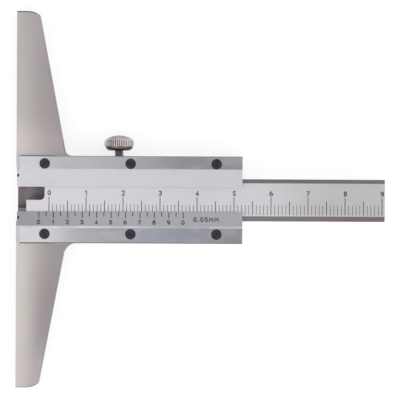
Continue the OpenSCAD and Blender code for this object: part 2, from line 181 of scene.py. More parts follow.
def side_points(points, half, closed):
    """Points on the left and on the right of a path, at half the stroke's width."""
    count = len(points)
    left, right = [], []
    for i, point in enumerate(points):
        steps = []
        if i or closed:
            steps.append((point - points[i - 1]).normalized())
        if i + 1 < count or closed:
            steps.append((points[(i + 1) % count] - point).normalized())
        along = sum(steps, Vector((0, 0))).normalized()
        side = Vector((-along.y, along.x)) * half / max(MITRE_LIMIT, along.dot(steps[0]))
        left.append(point + side)
        right.append(point - side)
    return left, right


def round_end(end, inner, half):
    """Points on the left and right of a stroke's round end, from its full width to its tip."""
    out = (end - inner).normalized()
    side = Vector((-out.y, out.x))
    angles = spread(0.0, QUARTER, ROUND_STEPS)[1:-1]
    shifts = [(half * math.sin(a) * out, half * math.cos(a) * side) for a in angles]
    shifts.append((half * out, ROUND_TIP * half * side))
    return [end + o + s for o, s in shifts], [end + o - s for o, s in shifts]


def add_stroke(bm, place, path, half, closed=False):
    """One stroke with round ends: a thin ribbon that stands NUMERAL_HEIGHT out of the surface."""
    points = [Vector(p) for p in path]
    left, right = side_points(points, half, closed)
    if not closed:
        end_left, end_right = round_end(points[-1], points[-2], half)
        start_right, start_left = round_end(points[0], points[1], half)
        left = start_left[::-1] + left + end_left
        right = start_right[::-1] + right + end_right
    corners = ((left, 1), (right, 1), (right, -1), (left, -1))
    rings = [
        [bm.verts.new(place @ Vector((*edge[i], up * NUMERAL_HEIGHT))) for edge, up in corners]
        for i in range(len(left))
    ]
    prism(bm, rings, closed)


# Numerals, drawn in a box that is 1 high and 1 wide: the path of each stroke, and if it is closed

def arc(x, y, rx, ry, start, end, steps=18):
    """Points on an ellipse round (x, y) from one angle to another, in degrees."""
    angles = [math.radians(a) for a in spread(start, end, steps)]
    return [(x + rx * math.cos(a), y + ry * math.sin(a)) for a in angles]


def loop(x, y, rx, ry):
    """A closed stroke round (x, y)."""
    return arc(x, y, rx, ry, 90, 450, 30)[:-1], True


def turned(strokes):
    """The same strokes turned by half a turn."""
    return [([(1 - x, 1 - y) for x, y in path], closed) for path, closed in strokes]


SIX = [(arc(0.98, 0.32, 0.97, 0.72, 112, 180, 10), False), loop(0.5, 0.31, 0.48, 0.31)]
FIVE_TOP = [(0.86, 1.0), (0.2, 1.0), (0.13, 0.54)]
GLYPHS = {
    "0": [loop(0.5, 0.5, 0.47, 0.5)],
    "1": [([(0.22, 0.74), (0.6, 1.0), (0.6, 0.0)], False)],
    "2": [(arc(0.48, 0.7, 0.42, 0.3, 165, -35) + [(0.04, 0.0), (0.96, 0.0)], False)],
    "3": [
        (arc(0.46, 0.75, 0.38, 0.25, 160, -80), False),
        (arc(0.46, 0.27, 0.45, 0.27, 88, -155), False),
    ],
    "4": [([(0.7, 0.0), (0.7, 1.0), (0.02, 0.27), (0.98, 0.27)], False)],
    "5": [(FIVE_TOP + arc(0.46, 0.32, 0.44, 0.32, 130, -150), False)],
    "6": SIX,
    "7": [([(0.04, 1.0), (0.95, 1.0)] + arc(1.35, 0.0, 1.0, 1.0, 130, 180, 8), False)],
    "8": [loop(0.5, 0.76, 0.36, 0.24), loop(0.5, 0.27, 0.46, 0.27)],
    "9": turned(SIX),
    ".": [loop(0.5, 0.04, 0.06, 0.05)],
    "M": [([(0.0, 0.0), (0.1, 0.9), (0.5, 0.38), (0.9, 0.9), (1.0, 0.0)], False)],
}
# Letters that are wider or narrower than a digit, and the gap between two, as shares of a digit's
# width
LETTER_WIDTHS = {".": 0.45, "M": 1.3}
LETTER_GAP = 0.27


def write(bm, text, place, height, width, stroke):
    """Writes a text along the local X of a place, from its lower left corner."""
    half = stroke / 2
    x = half
    for letter in text:
        wide = width * LETTER_WIDTHS.get(letter, 1.0)
        for path, closed in GLYPHS[letter]:
            sized = [(x + u * (wide - stroke), half + v * (height - stroke)) for u, v in path]
            add_stroke(bm, place, sized, half, closed)
        x += wide + width * LETTER_GAP


# Scales

def add_ink_line(bm, place, length, width, depth=LINE_DEPTH):
    """Ink in one engraved line, which runs along the local Y from 0. Its top sags in the middle."""
    half = width / 2 - INK_SINK
    section = [(share * half, -sag * INK_SINK) for share, sag in INK_SAGS]
    section += [(half, INK_SINK - depth), (-half, INK_SINK - depth)]
    rings = [
        [bm.verts.new(place @ Vector((x, y, z))) for x, z in section]
        for y in (INK_SINK, length - INK_SINK)
    ]
    prism(bm, rings)


def bevel_place(x, y):
    """Place on the vernier's bevel: local X along the scale, local Y up to its thin edge."""
    up = (BEVEL_LOW - BEVEL_HIGH).normalized()
    share = (y - BEVEL_LOW.x) / (BEVEL_HIGH.x - BEVEL_LOW.x)
    z = BEVEL_LOW.y + share * (BEVEL_HIGH.y - BEVEL_LOW.y)
    along, across = Vector((1, 0, 0)), Vector((0, up.x, up.y))
    turn = Matrix((along, across, along.cross(across))).transposed().to_4x4()
    return Matrix.Translation((x, y, z)) @ turn


def line_kind(kinds, number):
    """Length and width of a line of a scale: the first kind whose step divides its number."""
    return next(kind for step, kind in kinds.items() if number % step == 0)


def main_scale_ink(material):
    """Ink in the beam's lines, which run from their feet towards +Y."""
    bm = bmesh.new()
    for i in range(MAIN_LINES):
        x = beam_low.x + SCALE_ZERO + i * DIVISION
        place = Matrix.Translation((x, MAIN_FOOT_Y, beam_high.z))
        add_ink_line(bm, place, *line_kind(MAIN_KINDS, i))
    return new_piece("main_scale_ink", bm, material, "beam")


def vernier_scale_ink(material):
    """Ink in the vernier's lines, which start at the bevel's thin edge."""
    bm = bmesh.new()
    for i in range(VERNIER_LINES):
        length, width = line_kind(VERNIER_KINDS, i)
        place = bevel_place(SCALE_ZERO + i * VERNIER_STEP, BEVEL_LOW.x)
        add_ink_line(bm, place @ Matrix.Translation((0, -length, 0)), length, width)
    return new_piece("vernier_scale_ink", bm, material, "frame")


def nick_grime(material):
    """Dark fill in the nicks of the plates' ends: a painted shadow."""
    bm = bmesh.new()
    for y, z in NICKS:
        add_ink_line(bm, Matrix.Translation((NICK_X, y, z)), **NICK_FILL)
    return new_piece("nick_grime", bm, material, "frame")


def main_scale_numerals(material):
    """Centimetres over the beam's numbered lines."""
    bm = bmesh.new()
    left = beam_low.x + SCALE_ZERO + MAIN_DIGIT_SHIFT - MAIN_DIGIT["width"] / 2
    for n in range(MAIN_LINES // 10 + 1):
        place = Matrix.Translation((left + n * 10 * DIVISION, MAIN_DIGIT_Y, beam_high.z))
        write(bm, str(n), place, **MAIN_DIGIT)
    return new_piece("main_scale_numerals", bm, material, "beam")


def vernier_numerals(material):
    """Tenths under the vernier's longer lines, and its resolution mark."""
    bm = bmesh.new()
    left = SCALE_ZERO + VERNIER_DIGIT_SHIFT - VERNIER_DIGIT["width"] / 2
    for n in range(VERNIER_LINES // 2 + 1):
        place = bevel_place(left + 2 * n * VERNIER_STEP, VERNIER_DIGIT_Y)
        write(bm, str(n % 10), place, **VERNIER_DIGIT)
    write(bm, "0.05MM", bevel_place(MARK_X, MARK_Y), **MARK)
    return new_piece("vernier_numerals", bm, material, "frame")


# Clamp screw

def axis_point(y, radius, angle):
    """Point round the clamp screw's axis."""
    x, z = STUD_AXIS
    return Vector((x + radius * math.cos(angle), y, z + radius * math.sin(angle)))


def thread_rows(bm):
    """Rows of points along the thread's helix, one for each share of its pitch."""
    radius = (stud_high.x - stud_low.x) / 2
    length = stud_high.y - stud_low.y
    shares = len(THREAD_SHARES)
    rows = []
    for j in range(-shares, int(length / THREAD_PITCH) * shares + 2 * shares):
        share, depth_share = THREAD_SHARES[j % shares]
        row = []
        for k in range(THREAD_POINTS):
            run = (j // shares + share + k / THREAD_POINTS) * THREAD_PITCH
            run = min(max(run, 0.0), length)
            y = stud_low.y + run
            fade = min(1.0, max(0.0, (knob_low.y + THREAD_PITCH - y) / THREAD_PITCH))
            depth = max(THREAD_DEPTH * depth_share * fade, STUD_CHAMFER - run)
            angle = 2 * math.pi * k / THREAD_POINTS
            row.append(bm.verts.new(axis_point(y, radius - depth, angle)))
        rows.append(row)
    return rows


def threaded_stud(material):
    """The stud with its helical thread, which runs out where the knob is pressed on it."""
    bm = bmesh.new()
    rows = thread_rows(bm)
    shares = len(THREAD_SHARES)
    for j, (now, then) in enumerate(zip(rows, rows[1:])):
        for a, b, c, d in zip(now, now[1:], then[1:], then):
            bm.faces.new((a, b, c, d))
        if j + 1 + shares < len(rows):
            bm.faces.new((now[-1], rows[j + shares][0], rows[j + 1 + shares][0], then[-1]))
    bmesh.ops.remove_doubles(bm, verts=bm.verts, dist=MERGE)
    bmesh.ops.dissolve_degenerate(bm, edges=bm.edges, dist=MERGE)
    for y in (stud_low.y, stud_high.y):
        ends = [e for e in bm.edges if all(abs(v.co.y - y) < MERGE for v in e.verts)]
        bmesh.ops.contextual_create(bm, geom=[e for e in ends if e.is_boundary])
    stud = new_piece("clamp_stud_thread", bm, material, "clamp_screw")
    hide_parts("clamp_stud")
    return stud


def knob_profile():
    """Half section of the knob as (radius, height): the bore, round the outside, then the dome."""
    radius = (knob_high.x - knob_low.x) / 2
    height = knob_high.y - knob_low.y
    corner = Vector((radius - KNOB_CORNER_R, KNOB_SIDE))
    gap = height - corner.y
    dome_r = (corner.x ** 2 + gap ** 2 - KNOB_CORNER_R ** 2) / (2 * (gap - KNOB_CORNER_R))
    tangent = math.atan2(corner.y - height + dome_r, corner.x)
    wide, high = KNOB_UNDER
    under = [
        (KNOB_RIM_R - wide + wide * math.sin(a), high - high * math.cos(a))
        for a in spread(0.0, QUARTER, UNDER_STEPS)
    ]
    lead = [
        (KNOB_RIM_R + (radius - KNOB_RIM_R) * math.sin(a), high + KNURL_LEAD * (1 - math.cos(a)))
        for a in spread(0.0, QUARTER, LEAD_STEPS)[1:]
    ]
    over = [
        (corner.x + KNOB_CORNER_R * math.cos(a), corner.y + KNOB_CORNER_R * math.sin(a))
        for a in spread(0.0, tangent, CORNER_STEPS)
    ]
    dome = [
        (dome_r * math.cos(a), height - dome_r + dome_r * math.sin(a))
        for a in spread(tangent, QUARTER, DOME_STEPS)[1:-1]
    ]
    bore = [(KNOB_BORE_R / 2, KNOB_BORE), (KNOB_BORE_R, KNOB_BORE), (KNOB_BORE_R, 0.0)]
    seat = [(KNOB_BORE_R + share * (under[0][0] - KNOB_BORE_R), 0.0) for share in SEAT_RINGS]
    return bore + seat + under + lead + over + dome


def knurled_knob(material):
    """The knob with its straight knurl, whose crests and valleys are rounded."""
    radius = (knob_high.x - knob_low.x) / 2
    count = KNURL_TEETH * KNURL_POINTS
    bm = bmesh.new()
    rings = []
    for r, h in knob_profile():
        ring = []
        for k in range(count):
            valley = 0.5 + 0.5 * math.cos(2 * math.pi * k / KNURL_POINTS)
            limit = radius - KNURL_DEPTH * valley ** KNURL_POWER
            turn = KNURL_TURN + 2 * math.pi * k / count
            ring.append(bm.verts.new(axis_point(knob_low.y + h, min(r, limit), turn)))
        rings.append(ring)
    for now, then in zip(rings, rings[1:]):
        ring_faces(bm, now, then)
    for ring, y in ((rings[0], knob_low.y + KNOB_BORE), (rings[-1], knob_high.y)):
        tip = bm.verts.new(axis_point(y, 0.0, 0.0))
        for a, b in zip(ring, ring[1:] + ring[:1]):
            bm.faces.new((a, b, tip))
    knob = new_piece("clamp_knob_knurled", bm, material, "clamp_screw")
    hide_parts("clamp_knob")
    return knob


# Materials

# Faces by the Z of their normals: lowest, highest, and the blur beyond them. A frosted bevel has a
# Z of its own, with so much on either side.
SIDES = (-0.3, 0.3, 0.1)
BASE_CHAMFERS = (0.6, 0.78, 0.03)
PLATE_CHAMFERS = (0.6, 0.76, 0.03)
VERNIER_FACET = (0.79, 0.83, 0.02)
BEAM_EDGES = (-0.2, 0.85, 0.05)
FROSTED_SPREAD = 0.01
FROSTED_BLUR = 0.004
# Painted shade on the ground sides, which makes them darker than the fronts
SIDE_SHADE = 0.72
# Worn edges: samples of the rounded normal, and its cosine with the face's own where the wear ends
EDGE_SAMPLES = 6
EDGE_COSINES = (0.8, 0.99)
# Size of the grain on frosted chrome
FROST = (0.07 * MM, 0.07 * MM, 0.07 * MM)


class Finish:
    """A material under construction: a Principled shader with its colour and roughness so far."""

    def __init__(self, name, colour, roughness, metallic=1.0):
        self.material = bpy.data.materials.new(name)
        self.material.use_nodes = True
        self.tree = self.material.node_tree
        self.shader = self.tree.nodes["Principled BSDF"]
        self.shader.inputs["Metallic"].default_value = metallic
        self.place = self.add("ShaderNodeTexCoord").outputs["Object"]
        self.x, self.y, self.z = self.split(self.place)
        self.facing = self.add("ShaderNodeNewGeometry").outputs["Normal"]
        self.colour = (*colour, 1.0)
        self.roughness = roughness

    def add(self, kind, **settings):
        node = self.tree.nodes.new(kind)
        for key, value in settings.items():
            setattr(node, key, value)
        return node

    def feed(self, socket, value):
        """Links a socket to an input, or sets the input to a plain value."""
        if isinstance(value, bpy.types.NodeSocket):
            self.tree.links.new(value, socket)
        else:
            socket.default_value = value

    def split(self, vector):
        node = self.add("ShaderNodeSeparateXYZ")
        self.feed(node.inputs[0], vector)
        return node.outputs

    def math(self, operation, *values):
        node = self.add("ShaderNodeMath", operation=operation)
        for socket, value in zip(node.inputs, values):
            self.feed(socket, value)
        return node.outputs[0]

    def ramp(self, value, low, high, start=0.0, end=1.0):
        """Goes smoothly from start to end as the value goes from low to high."""
        node = self.add("ShaderNodeMapRange", interpolation_type="SMOOTHSTEP")
        given = {"Value": value, "From Min": low, "From Max": high, "To Min": start, "To Max": end}
        for key, part in given.items():
            self.feed(node.inputs[key], part)
        return node.outputs["Result"]

    def fall(self, value, low, high):
        """Goes smoothly from 1 to 0 as the value goes from low to high."""
        return self.ramp(value, low, high, 1.0, 0.0)

    def both(self, *masks):
        """Product of masks: 1 only where each of them is 1."""
        whole = masks[0]
        for mask in masks[1:]:
            whole = self.math("MULTIPLY", whole, mask)
        return whole

    def band(self, value, low, full, fade, high):
        """1 where the value is from full to fade, and smoothly less out to low and high."""
        return self.both(self.ramp(value, low, full), self.fall(value, fade, high))

    def noise(self, size, detail=3.0, distortion=0.0, shift=0.0):
        """Noise from 0 to 1 whose blobs have a size along X, Y and Z."""
        stretch = self.add("ShaderNodeMapping")
        self.feed(stretch.inputs["Vector"], self.place)
        stretch.inputs["Location"].default_value = (shift, shift, shift)
        stretch.inputs["Scale"].default_value = [1 / s for s in size]
        grain = self.add("ShaderNodeTexNoise")
        self.feed(grain.inputs["Vector"], stretch.outputs["Vector"])
        for key, value in {"Scale": 1.0, "Detail": detail, "Distortion": distortion}.items():
            grain.inputs[key].default_value = value
        return grain.outputs["Fac"]

    def blend(self, share, colour, kind="MIX"):
        """Goes over to another colour where the share is 1."""
        node = self.add("ShaderNodeMix", data_type="RGBA", blend_type=kind)
        self.feed(node.inputs["Factor"], share)
        self.feed(node.inputs["A"], self.colour)
        self.feed(node.inputs["B"], (*colour, 1.0))
        self.colour = next(s for s in node.outputs if s.type == "RGBA")

    def tint(self, share, colour):
        """Multiplies the colour by another where the share is 1."""
        self.blend(share, colour, "MULTIPLY")

    def shade(self, share, factor):
        """Multiplies the colour by a factor where the share is 1."""
        self.tint(share, (factor, factor, factor))

    def rough(self, share, amount):
        """Adds an amount to the roughness where the share is 1."""
        self.roughness = self.math("MULTIPLY_ADD", share, amount, self.roughness)

    def sloped(self, low, high, blur):
        """1 on faces whose normal has a Z from low to high."""
        return self.band(self.split(self.facing)[2], low - blur, low, high, high + blur)

    def edges(self, radius):
        """Rounded normal along the edges, and a mask that is 1 on them."""
        bevel = self.add("ShaderNodeBevel", samples=EDGE_SAMPLES)
        bevel.inputs["Radius"].default_value = radius
        dot = self.add("ShaderNodeVectorMath", operation="DOT_PRODUCT")
        self.feed(dot.inputs[0], bevel.outputs["Normal"])
        self.feed(dot.inputs[1], self.facing)
        return bevel.outputs["Normal"], self.fall(dot.outputs["Value"], *EDGE_COSINES)

    def bump(self, height, distance, normal):
        node = self.add("ShaderNodeBump")
        node.inputs["Distance"].default_value = distance
        self.feed(node.inputs["Height"], height)
        self.feed(node.inputs["Normal"], normal)
        return node.outputs["Normal"]

    def done(self, normal):
        """Feeds the shader, and gives the finished material."""
        self.feed(self.shader.inputs["Base Color"], self.colour)
        self.feed(self.shader.inputs["Roughness"], self.roughness)
        self.feed(self.shader.inputs["Normal"], normal)
        return self.material


# Base: steel, oxide colours, the wings' warm tint, painted shadow in seams and painted shade in its
# channel
STEEL = (0.765, 0.71, 0.675)
MAUVE = (0.765, 0.685, 0.69)
LILAC = (0.765, 0.69, 0.715)
ROSE = (0.765, 0.675, 0.68)
OLIVE = (0.72, 0.715, 0.635)
WARM_TINT = (0.965, 0.945, 0.93)
SEAM_SHADOW = (0.16, 0.13, 0.135)
SEAM_SHARE = 0.85
SEAM_WIDTH = 0.26 * MM
CHANNEL_SHADE_COLOUR = (0.4, 0.34, 0.36)
# Half the body's width, and where the wings start, as the distance from the centre line
BODY_HALF = 12 * MM
WING_START = (11.6 * MM, 12.4 * MM)
# Painted shade on the wings: over the upper one, and towards the back of each
WING_SHADES = {"upper": 0.86, "upper_back": 0.81, "lower_back": 0.54}
# Where they begin and are in full: the body's front face, the channel's floor, groove and walls by
# their Z, and the channel's sides by their distance from the centre line
FRONT_FACE = (6.2 * MM, 6.35 * MM)
CHANNEL_FLOOR = (1.6 * MM, 2.1 * MM)
CHANNEL_REACH = (5.8 * MM, 6.0 * MM)
GROOVE_TOP = (2.4 * MM, 2.9 * MM)
WALL_TOP = (5.6 * MM, 6.2 * MM)
# Painted shade in the channel, by place, and on its patches
CHANNEL_SHADES = {
    "inside": 0.4, "patches": 0.85, "mouth": 0.74, "behind": 0.78, "corner": 0.8, "low_edge": 0.54,
}
# Painted shade on the base's chamfers, more where they face +Y
CHAMFER_SHADE = 0.6
UPPER_CHAMFER_SHADE = 0.55


def wing_place(f):
    """Distance from the centre line, and the share of a wing's width from its front to its back."""
    out = f.math("ABSOLUTE", f.y)
    width = f.math("MULTIPLY_ADD", out, -WING_TAPER, WING_ROOT)
    return out, f.math("DIVIDE", f.x, width)


def tint_base(f, back, blotch):
    """Oxide on the base: mauve to lilac towards its back, rose bands, olive blotches in front."""
    bands = f.noise((3 * MM, 30 * MM, 9 * MM), detail=2.0, distortion=0.4, shift=3.1)
    f.blend(f.ramp(back, 0.4, 0.75, 0.0, 0.9), MAUVE)
    f.blend(f.ramp(back, 0.75, 0.95, 0.0, 0.9), LILAC)
    f.blend(f.ramp(bands, 0.45, 0.7, 0.0, 0.6), ROSE)
    front = f.ramp(back, 0.3, 0.7, 1.0, 0.15)
    f.blend(f.both(front, f.ramp(blotch, 0.45, 0.62, 0.0, 0.7)), OLIVE)


def shade_wings(f, out, back):
    """Wings: painted shade towards their backs and on the upper one away from its root; warm between.
    """
    wings = f.ramp(out, *WING_START)
    upper = f.both(wings, f.ramp(f.y, -BODY_HALF, BODY_HALF))
    lower = f.both(wings, f.fall(f.y, -BODY_HALF, BODY_HALF))
    root = f.ramp(out, 14 * MM, 27 * MM, 0.68, 0.87)
    tip = f.ramp(out, 34 * MM, 48 * MM, 1.0, 0.55)
    f.shade(f.both(upper, tip, f.ramp(back, 0.1, 0.95)), WING_SHADES["upper_back"])
    f.shade(f.both(lower, root, tip, f.ramp(back, 0.06, 0.84)), WING_SHADES["lower_back"])
    f.shade(f.both(upper, f.ramp(out, 15 * MM, 24 * MM)), WING_SHADES["upper"])
    middle = f.both(wings, f.band(back, 0.12, 0.4, 0.6, 0.85))
    f.tint(f.both(middle, f.fall(out, 24 * MM, 36 * MM)), WARM_TINT)


def fill_seam(f, out):
    """Painted shadow in the seam along the cover plates, behind the measuring face."""
    plates_end = f.fall(out, plate_high.y, plate_high.y + SEAM_WIDTH)
    seam = f.both(f.ramp(f.z, *FRONT_FACE), plates_end, f.ramp(f.x, 0.6 * MM, 1.2 * MM))
    f.blend(f.math("MULTIPLY", seam, SEAM_SHARE), SEAM_SHADOW)


def oil_channel(f, out):
    """Channel under the beam, brownish grey as painted shade, with a brighter ledge beside its
    groove.
    """
    inside = f.both(f.ramp(f.z, *CHANNEL_FLOOR), f.fall(out, *CHANNEL_REACH))
    groove = f.both(inside, f.fall(f.z, *GROOVE_TOP))
    low = f.both(groove, f.fall(f.y, 0.6 * MM, 2.4 * MM))
    patches = f.noise((2.6 * MM, 1.6 * MM, 1 * MM), detail=2.0, distortion=0.5)
    f.shade(f.both(inside, f.fall(f.z, *WALL_TOP)), CHANNEL_SHADES["inside"])
    f.blend(groove, CHANNEL_SHADE_COLOUR)
    f.shade(f.both(groove, f.ramp(patches, 0.4, 0.65)), CHANNEL_SHADES["patches"])
    f.shade(f.both(groove, f.fall(f.x, 0.5 * MM, 4 * MM)), CHANNEL_SHADES["mouth"])
    f.shade(f.both(groove, f.ramp(f.x, 3.2 * MM, 6.4 * MM)), CHANNEL_SHADES["behind"])
    f.shade(f.both(low, f.ramp(f.x, 2.6 * MM, 4.4 * MM)), CHANNEL_SHADES["corner"])
    f.shade(f.both(low, f.fall(f.y, -2.2 * MM, -0.6 * MM)), CHANNEL_SHADES["low_edge"])
    f.rough(groove, 0.2)


def shade_chamfers(f):
    """Painted shade on the base's chamfers, darker than its front and darker still facing +Y."""
    chamfers = f.sloped(*BASE_CHAMFERS)
    f.shade(chamfers, CHAMFER_SHADE)
    f.shade(f.both(chamfers, f.ramp(f.split(f.facing)[1], 0.6, 0.68)), UPPER_CHAMFER_SHADE)


def base_steel():
    """Ground steel of the base and body, with grain along the base, faint oxide tints and painted
    shade.
    """
    f = Finish("base_steel", STEEL, 0.34)
    blotch = f.noise((3.2 * MM, 8 * MM, 6 * MM), detail=3.0, distortion=0.8)
    streaks = f.noise((0.5 * MM, 9 * MM, 3 * MM), detail=4.0, distortion=0.3)
    fine = f.noise((0.06 * MM, 2.2 * MM, 0.4 * MM), detail=3.0)
    scratches = f.noise((3.5 * MM, 0.09 * MM, 1 * MM), detail=1.0, shift=7.0)
    out, back = wing_place(f)
    tint_base(f, back, blotch)
    f.shade(f.ramp(streaks, 0.35, 0.7), 0.98)
    f.shade(f.ramp(scratches, 0.7, 0.78), 1.1)
    shade_wings(f, out, back)
    fill_seam(f, out)
    oil_channel(f, out)
    shade_chamfers(f)
    f.shade(f.sloped(*SIDES), SIDE_SHADE)
    rounded, worn = f.edges(0.07 * MM)
    f.shade(worn, 1.08)
    f.rough(f.ramp(streaks, 0.3, 0.8), 0.05)
    return f.done(f.bump(blotch, 0.012 * MM, f.bump(fine, 0.0025 * MM, rounded)))


# Cover plates: their clouds, and the painted highlight on the vernier's facet along the scale
CLOUD = (0.7, 0.7, 0.745)
FACET = (0.99, 0.985, 1.0)
FACET_SHADES = {"faded": 0.66, "gleam": 1.2, "far": 0.92}
FACET_GLINT = (1.27, 1.27, 1.33)


def cover_plate(f, bevel_z, bevel_colour, edge_shade, first_shade=1.0, shift=0.0):
    """Finely ground band of a cover plate, and its frosted bevel, whose normal has a Z of bevel_z.

    The first part of the bevel has painted shade of its own, and so have the outer chamfers.
    """
    grain = f.noise((9 * MM, 0.3 * MM, 2 * MM), detail=4.0, distortion=0.2, shift=shift)
    fine = f.noise((3 * MM, 0.05 * MM, 0.3 * MM), detail=3.0)
    cloud = f.noise((8 * MM, 3.2 * MM, 4 * MM), detail=1.0, distortion=0.8, shift=shift)
    frost = f.noise(FROST, detail=2.0)
    frosted = f.sloped(bevel_z - FROSTED_SPREAD, bevel_z + FROSTED_SPREAD, FROSTED_BLUR)
    f.blend(f.ramp(cloud, 0.4, 0.7, 0.0, 0.5), CLOUD)
    f.shade(f.ramp(grain, 0.4, 0.7), 0.975)
    f.blend(frosted, bevel_colour)
    f.shade(f.both(frosted, f.fall(f.x, 2 * MM, 26 * MM)), first_shade)
    f.rough(f.ramp(cloud, 0.4, 0.7), 0.06)
    f.rough(frosted, 0.26)
    # Painted shade on the chamfers, only behind the measuring end
    f.shade(f.both(f.sloped(*PLATE_CHAMFERS), f.ramp(f.x, 0.6 * MM, 1.1 * MM)), edge_shade)
    f.shade(f.sloped(*SIDES), SIDE_SHADE)
    rounded, worn = f.edges(0.06 * MM)
    f.shade(worn, 1.04)
    normal = f.bump(grain, 0.0006 * MM, f.bump(fine, 0.001 * MM, rounded))
    return f.done(f.bump(f.both(frost, frosted), 0.003 * MM, normal))


def plate_steel():
    """The upper plate: darker over a short stretch near its end, with painted shade beyond its
    middle.
    """
    f = Finish("plate_steel", (0.745, 0.742, 0.76), 0.26)
    # Painted shade, bluish, beyond the middle, and a darker tone near the measuring end
    f.tint(f.ramp(f.x, 32 * MM, 46 * MM), (0.885, 0.88, 0.92))
    f.tint(f.band(f.x, 6 * MM, 10 * MM, 14 * MM, 20 * MM), (0.885, 0.89, 0.87))
    return cover_plate(f, bevel_z=0.966, bevel_colour=(0.69, 0.685, 0.71), edge_shade=0.48)


def vernier_chrome():
    """The vernier plate, with a painted highlight on the facet beside its bevel, fading along the
    scale.
    """
    f = Finish("vernier_chrome", (0.8, 0.795, 0.795), 0.26)
    # Painted shade, bluish, along the scale, eased by a lighter, bluer stretch further on
    f.tint(f.ramp(f.x, 9 * MM, 18 * MM), (0.79, 0.795, 0.84))
    f.tint(f.band(f.x, 26 * MM, 36 * MM, 48 * MM, 55 * MM), (1.08, 1.11, 1.17))
    # Painted highlight on the facet: fainter along the scale, with a gleam, a dimmer stretch and a
    # glint
    facet = f.sloped(*VERNIER_FACET)
    gleam = f.band(f.x, 28 * MM, 31 * MM, 34 * MM, 38 * MM)
    f.blend(facet, FACET)
    f.shade(f.both(facet, f.ramp(f.x, 16 * MM, 36 * MM)), FACET_SHADES["faded"])
    f.shade(f.both(facet, gleam), FACET_SHADES["gleam"])
    f.shade(f.both(facet, f.ramp(f.x, 42 * MM, 46 * MM)), FACET_SHADES["far"])
    f.tint(f.both(facet, f.ramp(f.x, 51 * MM, 53 * MM)), FACET_GLINT)
    bevel = (0.65, 0.642, 0.678)
    return cover_plate(
        f, bevel_z=0.971, bevel_colour=bevel, edge_shade=0.2, first_shade=0.81, shift=5.3
    )


# Beam: its chrome, the ground steel of its edges, dark partly as painted shade, and the rust on them
CHROME = (0.87, 0.862, 0.88)
GROUND = (0.195, 0.181, 0.195)
RUST = (0.26, 0.2, 0.215)
DARK_RUST = (0.19, 0.142, 0.165)


def beam_chrome():
    """Beam: satin chrome face, with painted shade towards its far end, and darker ground bevels and
    edges.
    """
    f = Finish("beam_chrome", CHROME, 0.6)
    frost = f.noise(FROST, detail=2.0)
    rub = f.noise((14 * MM, 0.4 * MM, 1 * MM), detail=3.0)
    fine = f.noise((4 * MM, 0.06 * MM, 0.06 * MM), detail=3.0)
    cloud = f.noise((10 * MM, 4 * MM, 4 * MM), detail=2.0, distortion=0.6)
    rust = f.noise((9 * MM, 1 * MM, 1 * MM), detail=2.0, shift=2.0)
    ground = f.sloped(*BEAM_EDGES)
    lower = f.both(ground, f.fall(f.y, -1 * MM, 1 * MM))
    f.shade(f.ramp(cloud, 0.4, 0.7), 0.98)
    f.shade(f.ramp(rub, 0.55, 0.8), 0.96)
    # Painted shade towards the far end
    f.shade(f.ramp(f.x, 64 * MM, 86 * MM), 0.855)
    # Ground edges, dark partly as painted shade; the lower ones lighter as painted light
    f.blend(ground, GROUND)
    f.shade(lower, 1.1)
    f.blend(f.both(ground, f.ramp(rust, 0.5, 0.7, 0.0, 0.5)), RUST)
    f.blend(f.both(lower, f.ramp(f.x, 62 * MM, 92 * MM, 0.0, 0.75)), DARK_RUST)
    f.shade(f.both(ground, f.ramp(rub, 0.4, 0.7)), 1.15)
    f.rough(f.ramp(rub, 0.45, 0.7), -0.05)
    f.rough(ground, -0.2)
    rounded, worn = f.edges(0.05 * MM)
    f.shade(worn, 1.06)
    return f.done(f.bump(frost, 0.003 * MM, f.bump(fine, 0.0015 * MM, rounded)))


def small_metal(name, colour, worn_colour, roughness, grain_size, worn_share=0.4):
    """Metal of a small part: grain that also dulls it, and edges worn to another colour."""
    f = Finish(name, colour, roughness)
    grain = f.noise(grain_size, detail=4.0)
    f.blend(f.ramp(grain, 0.45, 0.7, 0.0, 0.35), worn_colour)
    rounded, worn = f.edges(0.04 * MM)
    f.blend(f.math("MULTIPLY", worn, worn_share), worn_colour)
    f.rough(f.ramp(grain, 0.4, 0.7), 0.12)
    return f.done(f.bump(grain, 0.004 * MM, rounded))


def spring_bronze():
    """Rolled bronze, with its grain along the strip."""
    return small_metal(
        "spring_bronze", colour=(0.55, 0.42, 0.25), worn_colour=(0.62, 0.5, 0.33), roughness=0.32,
        grain_size=(4 * MM, 0.3 * MM, 0.08 * MM),
    )


def pad_brass():
    """Turned brass, with its grain round the button's axis."""
    return small_metal(
        "pad_brass", colour=(0.78, 0.62, 0.32), worn_colour=(0.85, 0.72, 0.45), roughness=0.3,
        grain_size=(0.3 * MM, 0.05 * MM, 0.3 * MM),
    )


def screw_black():
    """Black oxide of the plate screws, rubbed grey in spots."""
    return small_metal(
        "screw_black", colour=(0.07, 0.062, 0.072), worn_colour=(0.15, 0.14, 0.15), roughness=0.45,
        grain_size=(0.3 * MM, 0.3 * MM, 0.3 * MM), worn_share=0.0,
    )


def clamp_polar(f):
    """Distance from the clamp screw's axis, and the angle round it."""
    x = f.math("SUBTRACT", f.x, STUD_AXIS[0])
    z = f.math("SUBTRACT", f.z, STUD_AXIS[1])
    square = f.math("ADD", f.math("MULTIPLY", x, x), f.math("MULTIPLY", z, z))
    return f.math("SQRT", square), f.math("ARCTAN2", z, x)


